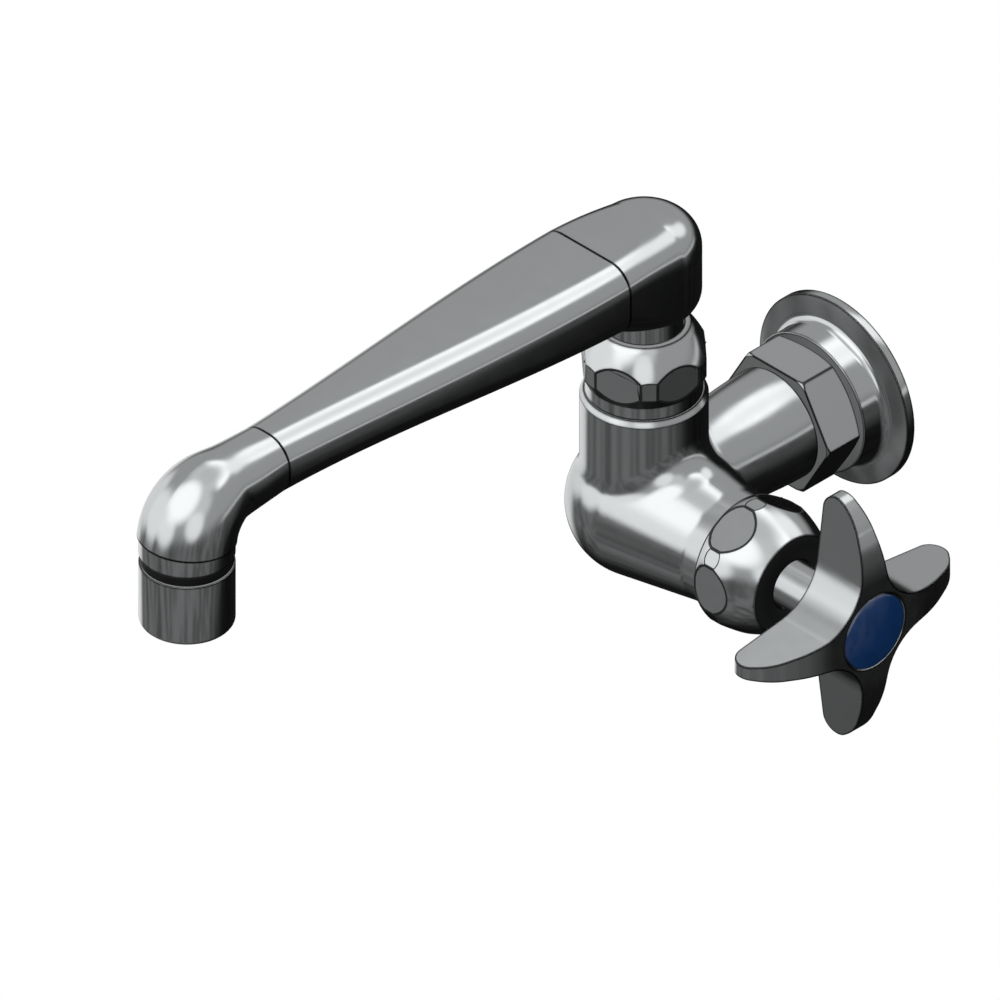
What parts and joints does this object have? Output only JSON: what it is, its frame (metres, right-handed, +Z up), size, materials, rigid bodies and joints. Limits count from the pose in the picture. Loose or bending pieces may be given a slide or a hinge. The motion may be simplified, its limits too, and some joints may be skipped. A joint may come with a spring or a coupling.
{
  "type": "commercial wall faucet",
  "caption": "Polished chrome single-hole wall faucet with a cross handle, a tapered swing spout on a domed nut, and an aerated outlet.",
  "frame": {"origin": "centre of the flange's back face, on the wall and on the axis of the supply pipe", "axes": "+Z up, -Y straight out of the wall toward the user, +X toward the handle; the wall is the plane Y = 0"},
  "size_m": [0.1039, 0.2298, 0.1169],
  "materials": {
    "chrome": "polished chrome plate on brass",
    "tube_chrome": "bright plated brass tube",
    "brass": "turned brass",
    "black_rubber": "moulded black rubber",
    "fibre": "pressed red fibre",
    "bearing_plastic": "moulded white acetal",
    "blue_plastic": "glossy dark blue plastic",
    "stainless_steel": "plain stainless steel"
  },
  "bodies": {
    "faucet_body": {"valve_body": "chrome", "wall_flange": "chrome", "inlet_coupling": "chrome", "inlet_gasket": "fibre", "valve_seat": "brass", "swivel_nut": "chrome", "bonnet_nut": "chrome", "bonnet_gasket": "fibre", "bonnet_sleeve": "brass"},
    "spout": {"swivel_tube": "tube_chrome", "swivel_o_rings": "black_rubber", "thrust_washer": "bearing_plastic", "spout_elbow": "chrome", "spout_tube": "chrome", "spout_tip": "chrome", "outlet_collar": "chrome", "outlet_gasket": "black_rubber", "aerator_housing": "chrome", "aerator_washer": "black_rubber", "aerator_screen": "stainless_steel", "aerator_insert": "bearing_plastic"},
    "handle": {"spindle": "brass", "spindle_o_rings": "black_rubber", "spindle_washer": "bearing_plastic", "cross_handle": "chrome", "index_button": "blue_plastic", "handle_screw": "stainless_steel"},
    "stopper": {"plunger": "brass", "seat_washer": "black_rubber", "seat_washer_screw": "brass"}
  },
  "joints": [
    {"name": "spout_swing", "type": "hinge", "parent": "faucet_body", "child": "spout", "pos_m": [0, -0.0656, 0.06], "axis": [0, 0, 1], "range_deg": [-105, 105]},
    {"name": "handle_turn", "type": "hinge", "parent": "faucet_body", "child": "handle", "pos_m": [0.06, -0.0656, 0], "axis": [1, 0, 0], "range_deg": [0, 270]},
    {"name": "plunger_lift", "type": "slide", "parent": "faucet_body", "child": "stopper", "axis": [1, 0, 0], "range_m": [0, 0.003]}
  ],
  "couplings": [
    {"joint": "plunger_lift", "follows": "handle_turn", "m_per_rad": 0.000636}
  ]
}
